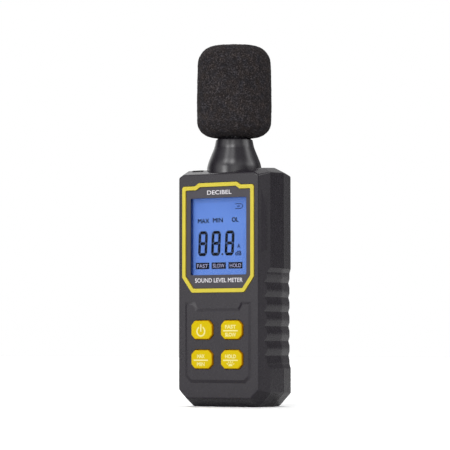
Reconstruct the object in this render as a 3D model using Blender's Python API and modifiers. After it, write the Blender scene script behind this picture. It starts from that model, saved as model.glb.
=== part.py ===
"""A hand-held sound level meter, built as the separate pieces it is assembled from.

The meter stands on its base with its front to -Y, X across and Z up. The origin is on the base, under the
axis of the microphone. Every length below is in millimetres, and the helpers turn it into metres.
"""

import math

import bmesh
import bpy
from mathutils import Matrix, Vector

MM = 0.001
GAP = 0.3  # clearance between touching pieces

# Case: octagonal cross sections from the front face to the back, each
# (y, half width, bottom z, top z, bottom corner, width and height of a top corner).
FRONT_Y = -16.5
BEVEL_Y = -8.5
SPLIT_Y = 5.2
BACK_Y = 17.0
FRONT_HALF = 25.0
SIDE_HALF = 27.8
BACK_HALF = 25.6
CASE_SECTIONS = (
    (FRONT_Y, FRONT_HALF, 4.4, 124.8, 4.8, 2.8, 1.7),
    (BEVEL_Y, SIDE_HALF, 0.0, 127.4, 7.4, 4.0, 2.4),
    (SPLIT_Y, SIDE_HALF, 0.0, 128.3, 7.4, 5.6, 3.0),
    (BACK_Y, BACK_HALF, 0.0, 126.0, 7.2, 3.4, 2.0),
)
WALL = 2.0
FRONT_WALL = 2.6
INNER_FRONT_Y = FRONT_Y + FRONT_WALL
EDGE_BEVEL = 0.7

# Grip: a recess down each side, with V grooves in its floor.
GRIP_TOP = 74.0
GRIP_BOTTOM = 20.5
GRIP_RAMP = 2.3
GRIP_FLOOR_X = SIDE_HALF - 0.77
GRIP_GROOVE_X = SIDE_HALF - 1.46
GROOVE_TOP_Z = 66.4
GROOVE_PITCH = 7.8
GROOVE_COUNT = 6
GROOVE_ABOVE = 2.2  # from the deepest line of a groove up to the floor, and down to it
GROOVE_BELOW = 2.5
GRIP_PIVOT_Y = 3.8  # the recess turns inwards here, along the taper of the rear case
GRIP_END_Y = BACK_Y + 2  # and runs out through the rear corner
REAR_TAPER = (SIDE_HALF - BACK_HALF) / (BACK_Y - SPLIT_Y)

# Low roof-shaped rib along each front bevel.
RAIL_BOTTOM = 81.5
RAIL_TOP = 116.0
RAIL_LOW_HIP = 2.2  # how far up and down from its ends the rib reaches its full height
RAIL_HIGH_HIP = 9.0
RAIL_HEIGHT = 0.85

# Display window: yellow trim ring, grey bezel, clear lens.
TRIM_HALF = 22.55
TRIM_TOP = 119.9
TRIM_SHOULDER = 118.3
TRIM_SIDE_LOW = 69.3
TRIM_LOW = 61.1
TRIM_LOW_HALF = 16.5
TRIM_STEP = (12.0, 14.4)  # where the raised middle of the top bar starts and ends its slope
TRIM_BAR = 2.1
TRIM_FRONT_Y = -17.0
BEZEL_FRONT_Y = -16.35
LENS_FRONT_Y = -15.6
POCKET_Y = -14.6
SCREEN_HALF = 17.6
SCREEN_LOW = 70.5
SCREEN_HIGH = 111.8

# Keypad.
PANEL_HALF = 20.8
PANEL_LOW = 12.7
PANEL_HIGH = 56.0
PANEL_NOTCH = (12.6, 14.6, 3.4)  # half width below, half width above and depth of the notch in its top
PANEL_CORNER = 3.6
PANEL_SLOPE = 1.9
PANEL_RISE = 0.6
KEY_WIDTH = 13.3
KEY_HEIGHT = 10.1
KEY_CORNER = 2.3
KEY_X = 9.35
KEY_ROWS = (41.1, 25.4)
KEY_FRONT_Y = -18.4
KEY_TRAVEL = 1.0

# Nose cone, microphone and windscreen.
NOSE_FOOT_RADIUS = 14.75
NOSE_SIDE = ((14.75, 128.6), (13.95, 131.8), (12.0, 136.7), (10.75, 139.9), (9.95, 143.7))
NOSE_BASE_Z = 124.0
NOSE_TOP_Z = 144.9
NOSE_WALL = 1.8
NOSE_FLANGE_Z = 121.8
TUBE_RADIUS = 6.35
TUBE_BORE = 5.75
TUBE_LOW = 118.0
TUBE_HIGH = 172.0
FOAM_RADIUS = 20.4
FOAM_LOW = 145.2
FOAM_HIGH = 195.6
FOAM_TOP_CORNER = (9.0, 10.5)  # width and height of the curve into the top
FOAM_BOTTOM_CORNER = (9.0, 8.6)
FOAM_CROWN = 0.8

# Circuit board and the screws through it.
BOARD_FRONT_Y = -8.3
BOARD_BACK_Y = -6.7
BOARD_HALF = 22.0
BOARD_LOW = 5.5
BOARD_HIGH = 121.0
CASE_SCREWS = ((-20.0, 119.5), (20.0, 119.5), (-19.5, 8.6), (19.5, 8.6))
BOARD_SCREWS = ((-20.0, 58.5), (20.0, 58.5))
SCREW_SEAT_Y = 3.0

# Battery compartment: three AAA cells side by side.
CELL_RADIUS = 5.25
CELL_LENGTH = 43.3
CELL_PITCH = 11.2
CELL_Y = 8.55
BAY_HALF = 17.2
BAY_LOW = 14.7
BAY_HIGH = 64.3
BAY_FRONT_Y = 3.0
BAY_WALL = 1.3
DOOR_THICKNESS = 1.8
DOOR_TAB_X = 8.0

PLUG_CENTRE = (-17.05, -9.3)
PLUG_SIZE = (6.9, 2.4)
PLUG_TOP = 127.4
INSERT_Z = 92.0
INSERT_RADIUS = 5.0

FACINGS = {
    "X": Matrix(((0, 0, 1, 0), (1, 0, 0, 0), (0, 1, 0, 0), (0, 0, 0, 1))),
    "Y": Matrix.Rotation(math.pi / 2, 4, "X"),
    "Z": Matrix.Identity(4),
}

for leftover in list(bpy.data.objects):
    bpy.data.objects.remove(leftover, do_unlink=True)

parts = bpy.data.collections.new("sound_level_meter")
cutters = bpy.data.collections.new("cutters")
for collection in (parts, cutters):
    bpy.context.scene.collection.children.link(collection)


# ---------------------------------------------------------------- materials


def linear(channel):
    """One 0-255 sRGB channel as a linear value."""
    value = channel / 255
    return value / 12.92 if value <= 0.04045 else ((value + 0.055) / 1.055) ** 2.4


def finish(name, colour, roughness, metallic=0.0, transmission=0.0):
    material = bpy.data.materials.new(name)
    material.use_nodes = True
    shader = material.node_tree.nodes["Principled BSDF"]
    shader.inputs["Base Color"].default_value = (*map(linear, colour), 1.0)
    shader.inputs["Roughness"].default_value = roughness
    shader.inputs["Metallic"].default_value = metallic
    shader.inputs["Transmission Weight"].default_value = transmission
    material.diffuse_color = (*map(linear, colour), 1.0)
    return material


CASE_GREY = finish("case_grey", (74, 72, 77), 0.55)
BEZEL_GREY = finish("bezel_grey", (86, 84, 90), 0.45)
YELLOW = finish("yellow_plastic", (230, 212, 60), 0.4)
KEY_YELLOW = finish("key_rubber", (240, 212, 18), 0.45)
FOAM_BLACK = finish("foam", (40, 38, 38), 0.95)
RUBBER_BLACK = finish("black_rubber", (22, 22, 23), 0.7)
CLEAR = finish("clear_window", (235, 240, 245), 0.05, transmission=1.0)
LCD_BLUE = finish("lcd_blue", (101, 140, 221), 0.3)
DIFFUSER = finish("light_guide", (225, 232, 245), 0.4)
BOARD_GREEN = finish("board_green", (22, 92, 52), 0.4)
CHIP_BLACK = finish("chip_black", (28, 28, 30), 0.5)
TRIMMER_BLUE = finish("trimmer_blue", (40, 84, 170), 0.4)
KEY_MAT_GREY = finish("key_mat", (196, 196, 190), 0.6)
STEEL = finish("steel", (190, 190, 194), 0.3, metallic=1.0)
BRASS = finish("brass", (200, 168, 92), 0.3, metallic=1.0)
CELL_WRAP = finish("cell_wrap", (46, 92, 66), 0.35)
WIRE_RED = finish("wire_red", (180, 30, 28), 0.5)
WIRE_BLACK = finish("wire_black", (30, 30, 32), 0.5)


# ------------------------------------------------------------------ helpers


def place(shape, material=None):
    """Put an object among the parts, or among the hidden cutters if it has no material."""
    if material:
        parts.objects.link(shape)
        shape.data.materials.append(material)
    else:
        cutters.objects.link(shape)
        shape.hide_render = True
        shape.display_type = "WIRE"
    return shape


def smooth(mesh, angle=35):
    mesh.shade_smooth()
    mesh.set_sharp_from_angle(angle=math.radians(angle))


def box(name, low, high, material=None):
    """A block between two opposite corners."""
    low, high = Vector(low) * MM, Vector(high) * MM
    shape = bmesh.new()
    bmesh.ops.create_cube(shape, size=1.0)
    bmesh.ops.scale(shape, vec=high - low, verts=shape.verts)
    mesh = bpy.data.meshes.new(name)
    shape.to_mesh(mesh)
    shape.free()
    block = bpy.data.objects.new(name, mesh)
    block.location = (low + high) / 2
    return place(block, material)


def rod(name, start, end, radius, material=None, segments=24):
    """A cylinder between two points."""
    start, end = Vector(start) * MM, Vector(end) * MM
    shape = bmesh.new()
    bmesh.ops.create_cone(
        shape,
        cap_ends=True,
        segments=segments,
        radius1=radius * MM,
        radius2=radius * MM,
        depth=(end - start).length,
    )
    mesh = bpy.data.meshes.new(name)
    shape.to_mesh(mesh)
    shape.free()
    smooth(mesh)
    cylinder = bpy.data.objects.new(name, mesh)
    cylinder.location = (start + end) / 2
    cylinder.rotation_euler = (end - start).to_track_quat("Z", "Y").to_euler()
    return place(cylinder, material)


def turned(name, profile, material=None, steps=40, location=(0, 0, 0), facing="Z", ring=False):
    """A profile of (radius, height) points turned about its own axis; a ring's profile is a loop."""
    count = len(profile)
    edges = [(i, (i + 1) % count) for i in range(count if ring else count - 1)]
    mesh = bpy.data.meshes.new(name)
    mesh.from_pydata([(radius * MM, 0, height * MM) for radius, height in profile], edges, [])
    body = bpy.data.objects.new(name, mesh)
    screw = body.modifiers.new("turn", "SCREW")
    screw.steps = screw.render_steps = steps
    screw.use_merge_vertices = True
    screw.merge_threshold = 0.00001
    body.matrix_world = Matrix.Translation(Vector(location) * MM) @ FACINGS[facing]
    return place(body, material)


def offset(outline, distance):
    """Move every side of a counter-clockwise outline inwards, or outwards if negative."""
    moved = []
    for index, corner in enumerate(outline):
        corner = Vector(corner)
        before = (corner - Vector(outline[index - 1])).normalized()
        after = (Vector(outline[(index + 1) % len(outline)]) - corner).normalized()
        side = Vector((-before.y, before.x))
        inwards = (side + Vector((-after.y, after.x))).normalized()
        moved.append(corner + inwards * distance / inwards.dot(side))
    return moved


def rounded(outline, radius, steps=3):
    """Replace each corner of an outline by an arc."""
    points = []
    for index, corner in enumerate(outline):
        corner = Vector(corner)
        back = (Vector(outline[index - 1]) - corner).normalized()
        ahead = (Vector(outline[(index + 1) % len(outline)]) - corner).normalized()
        half = back.angle(ahead) / 2
        centre = corner + (back + ahead).normalized() * radius / math.sin(half)
        start = corner + back * radius / math.tan(half) - centre
        end = corner + ahead * radius / math.tan(half) - centre
        turn = start.angle_signed(end)
        for step in range(steps + 1):
            points.append(centre + Matrix.Rotation(-turn * step / steps, 2) @ start)
    return points


def catmull_rom(corners, along):
    """A point between the middle two of four corners."""
    a, b, c, d = corners
    return 0.5 * (
        2 * b
        + (c - a) * along
        + (2 * a - 5 * b + 4 * c - d) * along**2
        + (3 * b - a - 3 * c + d) * along**3
    )


def smooth_route(route, steps):
    """Points along a smooth curve through a route, with this many steps from each point to the next."""
    route = [Vector(point) for point in route]
    ends = [2 * route[0] - route[1], *route, 2 * route[-1] - route[-2]]
    points = []
    for start in range(1, len(ends) - 2):
        points += [catmull_rom(ends[start - 1 : start + 3], step / steps) for step in range(steps)]
    return [*points, route[-1]]


def rectangle(half, low, high):
    return [(-half, low), (half, low), (half, high), (-half, high)]


def mirrored(right_side):
    """A whole outline from its right half, listed from the bottom up."""
    return list(right_side) + [(-x, z) for x, z in reversed(right_side)]


def plate(name, outlines, low, high, material=None, facing="Y"):
    """Flat outlines, the first one outside and the others holes, extruded from low to high along an axis.

    Facing Y, an outline holds (x, z) points; facing X, (y, z); facing Z, (x, y).
    """
    curve = bpy.data.curves.new(name, "CURVE")
    curve.dimensions = "2D"
    curve.fill_mode = "BOTH"
    curve.extrude = (high - low) / 2 * MM
    for outline in outlines:
        spline = curve.splines.new("POLY")
        spline.points.add(len(outline) - 1)
        for point, (across, up) in zip(spline.points, outline):
            point.co = (across * MM, up * MM, 0, 1)
        spline.use_cyclic_u = True
    flat = bpy.data.objects.new(name, curve)
    mesh = bpy.data.meshes.new_from_object(flat)
    bpy.data.objects.remove(flat)
    shape = bmesh.new()
    shape.from_mesh(mesh)
    bmesh.ops.remove_doubles(shape, verts=shape.verts, dist=0.000001)
    bmesh.ops.recalc_face_normals(shape, faces=shape.faces)
    shape.to_mesh(mesh)
    shape.free()
    mesh.name = name
    solid = bpy.data.objects.new(name, mesh)
    middle = Vector([(low + high) / 2 * MM if axis == facing else 0 for axis in "XYZ"])
    solid.matrix_world = Matrix.Translation(middle) @ FACINGS[facing]
    return place(solid, material)


def hull(name, points, material=None):
    """The convex solid around a set of points."""
    shape = bmesh.new()
    for point in points:
        shape.verts.new(Vector(point) * MM)
    bmesh.ops.convex_hull(shape, input=shape.verts)
    bmesh.ops.dissolve_limit(
        shape, angle_limit=math.radians(0.5), verts=shape.verts, edges=shape.edges
    )
    bmesh.ops.recalc_face_normals(shape, faces=shape.faces)
    mesh = bpy.data.meshes.new(name)
    shape.to_mesh(mesh)
    shape.free()
    return place(bpy.data.objects.new(name, mesh), material)


def wire(name, route, radius, material):
    """A round lead along a smooth curve through the route's points."""
    points = smooth_route(route, 4)
    curve = bpy.data.curves.new(name, "CURVE")
    curve.dimensions = "3D"
    curve.bevel_depth = radius * MM
    curve.bevel_resolution = 1
    curve.use_fill_caps = True
    spline = curve.splines.new("POLY")
    spline.points.add(len(points) - 1)
    for place_on, point in zip(spline.points, points):
        place_on.co = (*(point * MM), 1)
    return place(bpy.data.objects.new(name, curve), material)


def bevel(target, width, segments=1, angle=30):
    modifier = target.modifiers.new("soft edges", "BEVEL")
    modifier.width = width * MM
    modifier.segments = segments
    modifier.angle_limit = math.radians(angle)
    return target


def combine(target, operation, *others):
    """Cut the others from the target (DIFFERENCE) or join them to it (UNION)."""
    for other in others:
        modifier = target.modifiers.new(f"{operation.lower()} {other.name}", "BOOLEAN")
        modifier.operation = operation
        modifier.object = other
    return target


def joint_empty(name, location):
    """An empty on a joint's axis, for the moving pieces to hang from."""
    pivot = bpy.data.objects.new(name, None)
    pivot.location = Vector(location) * MM
    pivot.empty_display_size = 0.005
    parts.objects.link(pivot)
    return pivot


def hang(piece, pivot):
    piece.parent = pivot
    piece.matrix_parent_inverse = Matrix.Translation(-pivot.location)


# --------------------------------------------------------------------- case


def section_outline(half, bottom, top, bottom_corner, corner_width, corner_height):
    return mirrored(
        [
            (half - bottom_corner, bottom),
            (half, bottom + bottom_corner),
            (half, top - corner_height),
            (half - corner_width, top),
        ]
    )


def case_form(name, material=None, inset=0.0, front_inset=0.0):
    """The outer form of the whole case, or the cavity inside it if it is inset."""
    points = []
    for y, *sizes in CASE_SECTIONS:
        y += {FRONT_Y: front_inset, BACK_Y: -inset}.get(y, 0)
        points += [(x, y, z) for x, z in offset(section_outline(*sizes), inset)]
    return hull(name, points, material)


def grip_cutter():
    """The recess and grooves of the right grip, swept back along the side and then along the rear taper."""
    outside = 32.0
    outline = [(outside, GRIP_BOTTOM), (SIDE_HALF, GRIP_BOTTOM), (GRIP_FLOOR_X, GRIP_BOTTOM + GRIP_RAMP)]
    for index in reversed(range(GROOVE_COUNT)):
        middle = GROOVE_TOP_Z - index * GROOVE_PITCH
        outline.append((GRIP_FLOOR_X, middle - GROOVE_BELOW))
        outline.append((GRIP_GROOVE_X, middle))
        outline.append((GRIP_FLOOR_X, middle + GROOVE_ABOVE))
    outline += [(GRIP_FLOOR_X, GRIP_TOP - GRIP_RAMP), (SIDE_HALF, GRIP_TOP), (outside, GRIP_TOP)]
    shape = bmesh.new()
    front_end = Vector((0, FRONT_Y - 2, 0))
    corners = [front_end + Vector((x, 0, z)) for x, z in outline]
    face = shape.faces.new([shape.verts.new(corner * MM) for corner in corners])
    runs = (
        Vector((0, GRIP_PIVOT_Y, 0)) - front_end,
        Vector((-REAR_TAPER, 1, 0)) * (GRIP_END_Y - GRIP_PIVOT_Y),
    )
    first = face
    for run in runs:
        grown = bmesh.ops.extrude_face_region(shape, geom=[face], use_keep_orig=True)["geom"]
        if face is not first:
            bmesh.ops.delete(shape, geom=[face], context="FACES_ONLY")
        moved = [item for item in grown if isinstance(item, bmesh.types.BMVert)]
        bmesh.ops.translate(shape, vec=run * MM, verts=moved)
        face = next(item for item in grown if isinstance(item, bmesh.types.BMFace))
    bmesh.ops.recalc_face_normals(shape, faces=shape.faces)
    mesh = bpy.data.meshes.new("grip cutter")
    shape.to_mesh(mesh)
    shape.free()
    cutter = place(bpy.data.objects.new("grip cutter", mesh))
    mirror = cutter.modifiers.new("both sides", "MIRROR")
    mirror.merge_threshold = 0.00001
    return cutter


def bevel_rail(side):
    """The low roof-shaped rib that lies along a front bevel."""
    slope = Vector((SIDE_HALF - FRONT_HALF, BEVEL_Y - FRONT_Y)).normalized()
    out = Vector((slope.y, -slope.x))
    front, crest, rear = (Vector((FRONT_HALF, FRONT_Y)) + slope * reach for reach in (2.2, 4.4, 7.7))
    points = []
    for z, hip in ((RAIL_BOTTOM, RAIL_LOW_HIP), (RAIL_TOP, -RAIL_HIGH_HIP)):
        for flank in (front, rear):
            points.append((flank.x, flank.y, z))
            points.append((flank.x - out.x, flank.y - out.y, z))
        ridge = crest + out * RAIL_HEIGHT
        points.append((ridge.x, ridge.y, z + hip))
    return hull(f"bevel rail {side}", [(side * x, y, z) for x, y, z in points])


def trim_outline():
    inner, outer = TRIM_STEP
    return mirrored(
        [
            (TRIM_LOW_HALF, TRIM_LOW),
            (TRIM_HALF, TRIM_SIDE_LOW),
            (TRIM_HALF, TRIM_SHOULDER),
            (outer, TRIM_SHOULDER),
            (inner, TRIM_TOP),
        ]
    )


def key_outline(x, z):
    """An octagon: a rectangle with its corners cut off."""
    wide, high = KEY_WIDTH / 2, KEY_HEIGHT / 2
    octagon = [
        (wide - KEY_CORNER, -high),
        (wide, -high + KEY_CORNER),
        (wide, high - KEY_CORNER),
        (wide - KEY_CORNER, high),
    ]
    return [(x + across, z + up) for across, up in mirrored(octagon)]


def keypad_panel():
    """The raised field around the keys, with a notch in its top edge and sloping walls."""
    notch_low, notch_high, notch_depth = PANEL_NOTCH
    outline = mirrored(
        [
            (PANEL_HALF - PANEL_CORNER, PANEL_LOW),
            (PANEL_HALF, PANEL_LOW + PANEL_CORNER),
            (PANEL_HALF, PANEL_HIGH),
            (notch_high, PANEL_HIGH),
            (notch_low, PANEL_HIGH - notch_depth),
        ]
    )
    panel = plate("keypad panel", [outline], FRONT_Y, FRONT_Y + 1.0)
    shape = bmesh.new()
    shape.from_mesh(panel.data)
    shape.faces.ensure_lookup_table()
    front = [face for face in shape.faces if face.normal.z > 0.9]
    bmesh.ops.inset_region(shape, faces=front, thickness=PANEL_SLOPE * MM, depth=PANEL_RISE * MM)
    shape.to_mesh(panel.data)
    shape.free()
    return panel


def key_places():
    for z in KEY_ROWS:
        for x in (-KEY_X, KEY_X):
            yield x, z


def bosses(name, places, radius, low_y, high_y, segments=20):
    return [
        rod(f"{name} {index}", (x, low_y, z), (x, high_y, z), radius, segments=segments)
        for index, (x, z) in enumerate(places)
    ]


def build_front_case(cavity, grip, nose_hole, plug_hole):
    case = bevel(case_form("front_case", CASE_GREY), EDGE_BEVEL, segments=2)
    combine(case, "UNION", keypad_panel(), bevel_rail(1), bevel_rail(-1))
    combine(case, "DIFFERENCE", box("rear half", (-40, SPLIT_Y - GAP / 2, -10), (40, 40, 150)), cavity)
    window_outline = rectangle(SCREEN_HALF + 2.1, SCREEN_LOW - 2.9, SCREEN_HIGH + 2.9)
    combine(
        case,
        "DIFFERENCE",
        plate("trim pocket", [rounded(offset(trim_outline(), -0.25), 1.4)], FRONT_Y - 3, POCKET_Y),
        plate("window hole", [window_outline], POCKET_Y - 1, INNER_FRONT_Y + 2),
    )
    for index, (x, z) in enumerate(key_places()):
        hole = rounded(offset(key_outline(x, z), -0.35), 0.8, steps=2)
        combine(case, "DIFFERENCE", plate(f"key hole {index}", [hole], FRONT_Y - 3, INNER_FRONT_Y + 1))
    combine(case, "DIFFERENCE", grip, nose_hole, plug_hole)
    boss_front = INNER_FRONT_Y - 0.7
    boss_back = BOARD_FRONT_Y - GAP
    combine(case, "UNION", *bosses("front boss", CASE_SCREWS, 2.8, boss_front, boss_back))
    combine(case, "UNION", *bosses("board boss", BOARD_SCREWS, 2.5, boss_front, boss_back))
    pilots = bosses("pilot hole", CASE_SCREWS + BOARD_SCREWS, 1.4, INNER_FRONT_Y + 0.3, 0, segments=12)
    combine(case, "DIFFERENCE", *pilots)


def build_rear_case(cavity, grip, nose_hole):
    case = bevel(case_form("rear_case", CASE_GREY), EDGE_BEVEL, segments=2)
    combine(case, "DIFFERENCE", box("front half", (-40, -40, -10), (40, SPLIT_Y + GAP / 2, 150)), cavity)
    combine(
        case,
        "UNION",
        box(
            "battery bay",
            (-BAY_HALF - BAY_WALL, BAY_FRONT_Y - BAY_WALL, BAY_LOW - BAY_WALL),
            (BAY_HALF + BAY_WALL, BACK_Y - 1, BAY_HIGH + BAY_WALL),
        ),
        rod("insert boss", (0, 6.5, INSERT_Z), (0, BACK_Y - 1, INSERT_Z), INSERT_RADIUS + 1.8),
        *bosses("rear post", CASE_SCREWS, 3.4, BOARD_BACK_Y + GAP, BACK_Y - 0.9),
    )
    bay = box("bay space", (-BAY_HALF, BAY_FRONT_Y, BAY_LOW), (BAY_HALF, BACK_Y + 3, BAY_HIGH))
    insert_hole = rod("insert hole", (0, 8, INSERT_Z), (0, BACK_Y + 3, INSERT_Z), INSERT_RADIUS + GAP)
    combine(case, "DIFFERENCE", bay, insert_hole, grip, nose_hole)
    combine(case, "DIFFERENCE", *bosses("counterbore", CASE_SCREWS, 2.8, SCREW_SEAT_Y, BACK_Y + 3))
    combine(case, "DIFFERENCE", *bosses("shank hole", CASE_SCREWS, 1.5, -10, 10, segments=12))
    for side in (-1, 1):
        x = side * DOOR_TAB_X
        low = (x - 2.4, BACK_Y - 3.1, BAY_LOW - 1.8)
        high = (x + 2.4, BACK_Y - 0.6, BAY_LOW + 1)
        combine(case, "DIFFERENCE", box(f"tab slot {side}", low, high))


def build_case():
    cavity = case_form("cavity", inset=WALL, front_inset=FRONT_WALL)
    grip = grip_cutter()
    hole_low = (0, 0, NOSE_BASE_Z - 0.4)
    nose_hole = rod("nose hole", hole_low, (0, 0, 140), NOSE_FOOT_RADIUS + 0.25, segments=48)
    x, y = PLUG_CENTRE
    wide, deep = (size / 2 + GAP for size in PLUG_SIZE)
    plug_hole = box("plug hole", (x - wide, y - deep, 120), (x + wide, y + deep, 140))
    build_front_case(cavity, grip, nose_hole, plug_hole)
    build_rear_case(cavity, grip, nose_hole)


# ------------------------------------------------- nose, microphone, screen


def build_nose():
    """The cone that carries the microphone: a gently curved side over a straight foot."""
    side = smooth_route(NOSE_SIDE, 3)
    top_radius, top_z = NOSE_SIDE[-1]
    foot_radius, foot_z = NOSE_SIDE[0]
    bore = TUBE_RADIUS + GAP
    profile = [(foot_radius, NOSE_BASE_Z), *side]
    profile += [(top_radius - 0.9, top_z + 0.6), (top_radius - 1.3, NOSE_TOP_Z), (bore, NOSE_TOP_Z)]
    profile += [(bore, top_z - 3), (top_radius - NOSE_WALL, top_z - 3)]
    profile += [(foot_radius - NOSE_WALL, foot_z), (foot_radius - NOSE_WALL, NOSE_BASE_Z)]
    nose = turned("nose_cone", profile[::-1], CASE_GREY, steps=48, ring=True)
    flange = box("nose flange", (-15.6, -10.0, NOSE_FLANGE_Z), (15.6, 10.0, NOSE_BASE_Z + 0.2))
    opening = rod("flange opening", (0, 0, 120), (0, 0, NOSE_BASE_Z + 0.5), foot_radius - NOSE_WALL - 0.6)
    combine(nose, "UNION", flange)
    combine(nose, "DIFFERENCE", opening)


def build_microphone():
    turned(
        "microphone_tube",
        [(TUBE_RADIUS, TUBE_HIGH), (TUBE_RADIUS, TUBE_LOW), (TUBE_BORE, TUBE_LOW), (TUBE_BORE, TUBE_HIGH)],
        STEEL,
        ring=True,
    )
    turned("microphone_capsule", [(0, 171), (4.2, 171), (4.85, 170.5), (4.85, 164.3), (0, 164.3)], STEEL)
    turned("microphone_gasket", [(5.6, 170), (5.6, 165), (5.05, 165), (5.05, 170)], RUBBER_BLACK, ring=True)
    grid = turned(
        "microphone_grid",
        [
            (0, 174.0),
            (5.7, 174.0),
            (TUBE_RADIUS, 173.4),
            (TUBE_RADIUS, TUBE_HIGH + GAP),
            (TUBE_BORE, TUBE_HIGH + GAP),
            (TUBE_BORE, 173.2),
            (0, 173.2),
        ],
        STEEL,
    )
    holes = [(0.0, 0.0)]
    holes += [(3.4 * math.cos(turn), 3.4 * math.sin(turn)) for turn in (i * math.pi / 3 for i in range(6))]
    for index, (x, y) in enumerate(holes):
        combine(grid, "DIFFERENCE", rod(f"grid hole {index}", (x, y, 170), (x, y, 180), 0.9, segments=10))
    for name, side, material in (("signal_lead", 1.2, WIRE_RED), ("ground_lead", -1.2, WIRE_BLACK)):
        route = [
            (side, 0, 164.0),
            (side, 0.3, 150),
            (side * 1.4, -0.4, 135),
            (side * 1.6, -2.5, 122),
            (side * 1.6, -4.6, 113),
            (side * 1.6, -5.9, 108),
        ]
        wire(f"microphone_{name}", route, 0.45, material)


def build_windscreen():
    """A round foam sleeve with a blind bore, which pushes on over the microphone."""
    profile = [(0, FOAM_HIGH)]
    arc = [math.pi / 2 * step / 6 for step in range(7)]
    wide, high = FOAM_TOP_CORNER
    for turn in arc:
        radius = FOAM_RADIUS - 0.4 - wide * (1 - math.sin(turn))
        profile.append((radius, FOAM_HIGH - FOAM_CROWN - high * (1 - math.cos(turn))))
    profile.append((FOAM_RADIUS, FOAM_LOW + 19))
    wide, high = FOAM_BOTTOM_CORNER
    for turn in arc:
        radius = FOAM_RADIUS - 0.2 - wide * (1 - math.cos(turn))
        profile.append((radius, FOAM_LOW + high * (1 - math.sin(turn))))
    bore = TUBE_RADIUS + GAP
    profile += [(bore, FOAM_LOW), (bore, TUBE_HIGH + 3.5), (0, TUBE_HIGH + 3.5)]
    foam = turned("foam_windscreen", profile, FOAM_BLACK)
    hang(foam, joint_empty("windscreen_slide", (0, 0, FOAM_LOW)))


# ------------------------------------------------------------------ display


def build_display():
    outer = trim_outline()
    ring = [rounded(outer, 1.4), rounded(offset(outer, TRIM_BAR), 0.5, steps=2)]
    bevel(plate("display_trim", ring, TRIM_FRONT_Y, POCKET_Y - GAP, YELLOW), 0.3)
    screen = rectangle(SCREEN_HALF, SCREEN_LOW, SCREEN_HIGH)
    inside = rounded(offset(outer, TRIM_BAR + 0.2), 0.4, steps=2)
    opening = rounded(screen, 0.6, steps=2)
    plate("display_bezel", [inside, opening], BEZEL_FRONT_Y, LENS_FRONT_Y - 0.25, BEZEL_GREY)
    plate("display_lens", [inside], LENS_FRONT_Y, POCKET_Y - 0.25, CLEAR)
    frame = box(
        "lcd_frame",
        (-SCREEN_HALF - 1.8, POCKET_Y + 0.05, SCREEN_LOW - 2.6),
        (SCREEN_HALF + 1.8, -8.9, SCREEN_HIGH + 2.6),
        DIFFUSER,
    )
    combine(
        frame,
        "DIFFERENCE",
        box("frame opening", (-SCREEN_HALF, -20, SCREEN_LOW), (SCREEN_HALF, 0, SCREEN_HIGH)),
        box(
            "frame rebate",
            (-SCREEN_HALF - 1.0, -13.5, SCREEN_LOW - 1.8),
            (SCREEN_HALF + 1.0, 0, SCREEN_HIGH + 1.8),
        ),
    )
    half = SCREEN_HALF + 0.7
    top = SCREEN_HIGH + 1.5
    box("lcd_panel", (-half, -13.2, SCREEN_LOW - 1.5), (half, -11.4, top), LCD_BLUE)
    box("lcd_backlight", (-half, -11.1, SCREEN_LOW + 0.9), (half, -8.9, top), DIFFUSER)
    box("elastomer_strip", (-15.5, -11.1, SCREEN_LOW - 1.3), (15.5, -8.6, SCREEN_LOW + 0.6), RUBBER_BLACK)


# --------------------------------------------------------------------- keys


def build_keys():
    names = ("power_button", "fast_slow_button", "max_min_button", "hold_light_button")
    skirt_front = INNER_FRONT_Y + GAP
    for name, (x, z) in zip(names, key_places()):
        cap = plate(name, [rounded(key_outline(0, 0), 1.2)], KEY_FRONT_Y, skirt_front + 0.5, KEY_YELLOW)
        bevel(cap, 0.5, segments=2, angle=60)
        skirt = box(f"{name} skirt", (x - 7.6, skirt_front, z - 6.0), (x + 7.6, skirt_front + 1.0, z + 6.0))
        cap.location.x, cap.location.z = x * MM, z * MM
        combine(cap, "UNION", skirt)
    mat_front = skirt_front + 1.0 + KEY_TRAVEL + 0.1
    mat = box("key_mat", (-18.2, mat_front, 17.5), (18.2, mat_front + 1.0, 49.5), KEY_MAT_GREY)
    for index, (x, z) in enumerate(key_places()):
        foot = rod(f"mat foot {index}", (x, mat_front + 0.5, z), (x, BOARD_FRONT_Y - GAP, z), 3.4)
        combine(mat, "UNION", foot)


# -------------------------------------------------- board, screws, hardware


def build_board():
    board = box(
        "main_board",
        (-BOARD_HALF, BOARD_FRONT_Y, BOARD_LOW),
        (BOARD_HALF, BOARD_BACK_Y, BOARD_HIGH),
        BOARD_GREEN,
    )
    screw_holes = bosses("board hole", CASE_SCREWS + BOARD_SCREWS, 1.5, -12, 0, segments=12)
    combine(board, "DIFFERENCE", *screw_holes)
    back = BOARD_BACK_Y + GAP
    box("processor_chip", (-6, back, 92), (6, back + 1.6, 104), CHIP_BLACK)
    box("amplifier_chip", (6.5, back, 108), (11.5, back + 1.5, 114), CHIP_BLACK)
    turned(
        "smoothing_capacitor",
        [(0, 5.4), (2.6, 5.4), (3.15, 5.0), (3.15, 0), (0, 0)],
        STEEL,
        steps=24,
        location=(12, back + 5.4, 84),
        facing="Y",
    )
    front = BOARD_FRONT_Y - GAP
    trimmer = box("calibration_trimmer", (-16.9, front - 3.8, 115.2), (-12.9, front, 120.2), TRIMMER_BLUE)
    combine(trimmer, "DIFFERENCE", box("trimmer slot", (-16, front - 2, 119.6), (-13.8, front - 1.5, 122)))


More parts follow.
